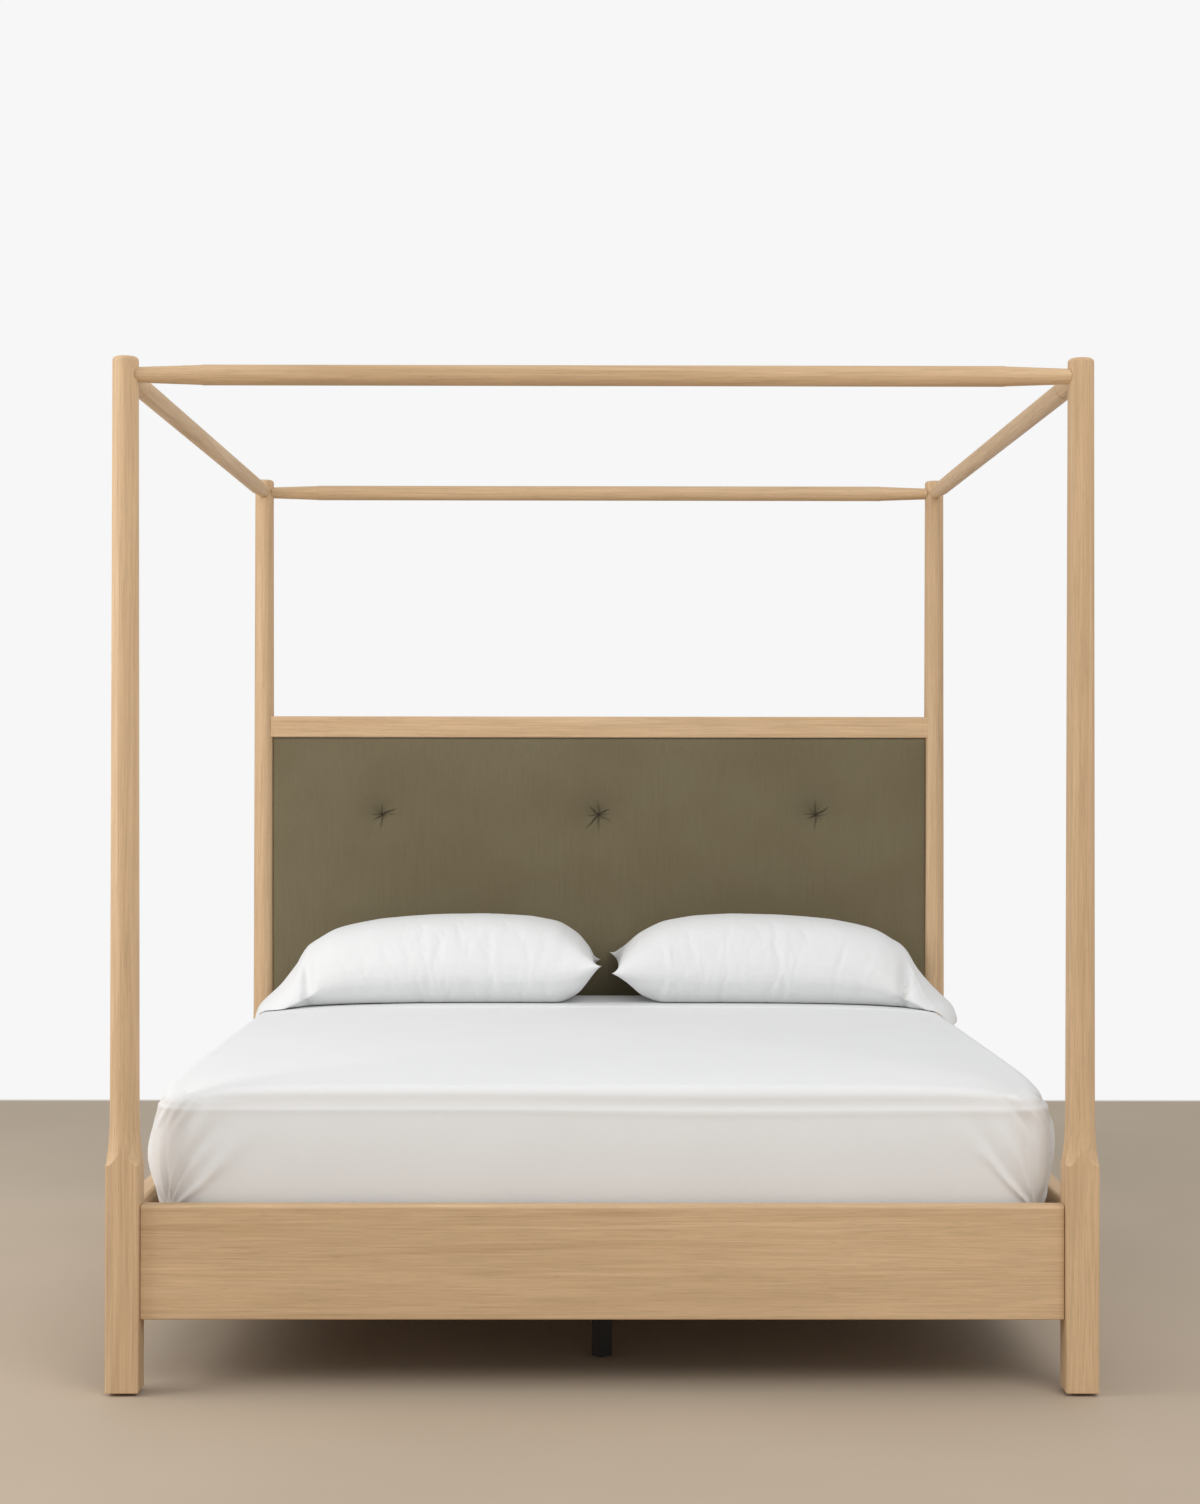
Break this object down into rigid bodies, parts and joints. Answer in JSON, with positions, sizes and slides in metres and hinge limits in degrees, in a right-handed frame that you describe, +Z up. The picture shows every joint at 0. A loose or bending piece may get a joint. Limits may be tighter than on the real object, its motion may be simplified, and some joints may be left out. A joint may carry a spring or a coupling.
{
  "type": "four poster canopy bed",
  "caption": "Four poster canopy bed with square-footed turned posts, round canopy rails, a tufted upholstered headboard, deep side rails, a slatted base, mattress, sheet and pillows.",
  "frame": {"origin": "on the floor, under the middle of the bed's outline", "axes": "+X to the right seen from the foot, +Y from foot to head, +Z up"},
  "size_m": [2.082, 2.18, 2.18],
  "materials": {
    "oak": "matt natural oak, lightly oiled",
    "slat_wood": "planed softwood, unfinished",
    "black_paint": "hardwood painted black",
    "plywood": "sanded plywood",
    "glide_nylon": "moulded nylon",
    "black_steel": "black powder coat",
    "zinc_steel": "zinc plated",
    "foam": "open cell upholstery foam",
    "upholstery": "slubbed linen weave, olive brown",
    "dust_cloth": "spunbond dust cloth",
    "twine": "waxed twine",
    "mattress_ticking": "knitted ticking",
    "bed_linen": "white cotton percale",
    "pillow_ticking": "white cotton ticking"
  },
  "bodies": {
    "frame": {"front_left_post": "oak", "front_right_post": "oak", "rear_left_post": "oak", "rear_right_post": "oak", "front_rail": "oak", "rear_rail": "oak", "left_side_rail": "oak", "right_side_rail": "oak", "front_canopy_rail": "oak", "rear_canopy_rail": "oak", "left_canopy_rail": "oak", "right_canopy_rail": "oak", "headboard_top_rail": "oak", "slat_01": "slat_wood", "slat_02": "slat_wood", "slat_03": "slat_wood", "slat_04": "slat_wood", "slat_05": "slat_wood", "slat_06": "slat_wood", "slat_07": "slat_wood", "slat_08": "slat_wood", "slat_09": "slat_wood", "slat_10": "slat_wood", "slat_11": "slat_wood", "left_ledger": "slat_wood", "right_ledger": "slat_wood", "center_beam": "slat_wood", "left_headboard_stile": "slat_wood", "right_headboard_stile": "slat_wood", "headboard_dowels": "slat_wood", "front_center_leg": "black_paint", "middle_center_leg": "black_paint", "rear_center_leg": "black_paint", "headboard_board": "plywood", "rail_hook_plates": "black_steel", "post_catch_plates": "black_steel", "beam_hangers": "black_steel", "plate_screws": "zinc_steel", "wood_screws": "zinc_steel", "canopy_studs": "zinc_steel", "threaded_inserts": "zinc_steel", "leg_bolts": "zinc_steel", "tuft_washers": "zinc_steel", "headboard_foam": "foam", "headboard_cover": "upholstery", "headboard_rear_cloth": "dust_cloth", "tuft_ties": "twine"},
    "mattress": {"mattress": "mattress_ticking", "fitted_sheet": "bed_linen"},
    "left_pillow": {"left_pillow": "pillow_ticking", "left_pillowcase": "bed_linen"},
    "right_pillow": {"right_pillow": "pillow_ticking", "right_pillowcase": "bed_linen"},
    "front_left_glide": {"front_left_glide": "glide_nylon"},
    "front_right_glide": {"front_right_glide": "glide_nylon"},
    "rear_left_glide": {"rear_left_glide": "glide_nylon"},
    "rear_right_glide": {"rear_right_glide": "glide_nylon"},
    "front_leg_glide": {"front_leg_glide": "glide_nylon"},
    "middle_leg_glide": {"middle_leg_glide": "glide_nylon"},
    "rear_leg_glide": {"rear_leg_glide": "glide_nylon"}
  },
  "joints": [
    {"name": "mattress_lift", "type": "slide", "parent": "frame", "child": "mattress", "axis": [0, 0, 1], "range_m": [0, 0.25]},
    {"name": "left_pillow_lift", "type": "slide", "parent": "mattress", "child": "left_pillow", "axis": [0, 0, 1], "range_m": [0, 0.3]},
    {"name": "right_pillow_lift", "type": "slide", "parent": "mattress", "child": "right_pillow", "axis": [0, 0, 1], "range_m": [0, 0.3]},
    {"name": "front_left_glide_turn", "type": "hinge", "parent": "frame", "child": "front_left_glide", "pos_m": [-1.006, -1.055, 0], "axis": [0, 0, 1], "continuous": true},
    {"name": "front_right_glide_turn", "type": "hinge", "parent": "frame", "child": "front_right_glide", "pos_m": [1.006, -1.055, 0], "axis": [0, 0, 1], "continuous": true},
    {"name": "rear_left_glide_turn", "type": "hinge", "parent": "frame", "child": "rear_left_glide", "pos_m": [-1.006, 1.055, 0], "axis": [0, 0, 1], "continuous": true},
    {"name": "rear_right_glide_turn", "type": "hinge", "parent": "frame", "child": "rear_right_glide", "pos_m": [1.006, 1.055, 0], "axis": [0, 0, 1], "continuous": true},
    {"name": "front_leg_glide_turn", "type": "hinge", "parent": "frame", "child": "front_leg_glide", "pos_m": [0, -0.745, 0], "axis": [0, 0, 1], "continuous": true},
    {"name": "middle_leg_glide_turn", "type": "hinge", "parent": "frame", "child": "middle_leg_glide", "pos_m": [0, 0, 0], "axis": [0, 0, 1], "continuous": true},
    {"name": "rear_leg_glide_turn", "type": "hinge", "parent": "frame", "child": "rear_leg_glide", "pos_m": [0, 0.745, 0], "axis": [0, 0, 1], "continuous": true}
  ]
}
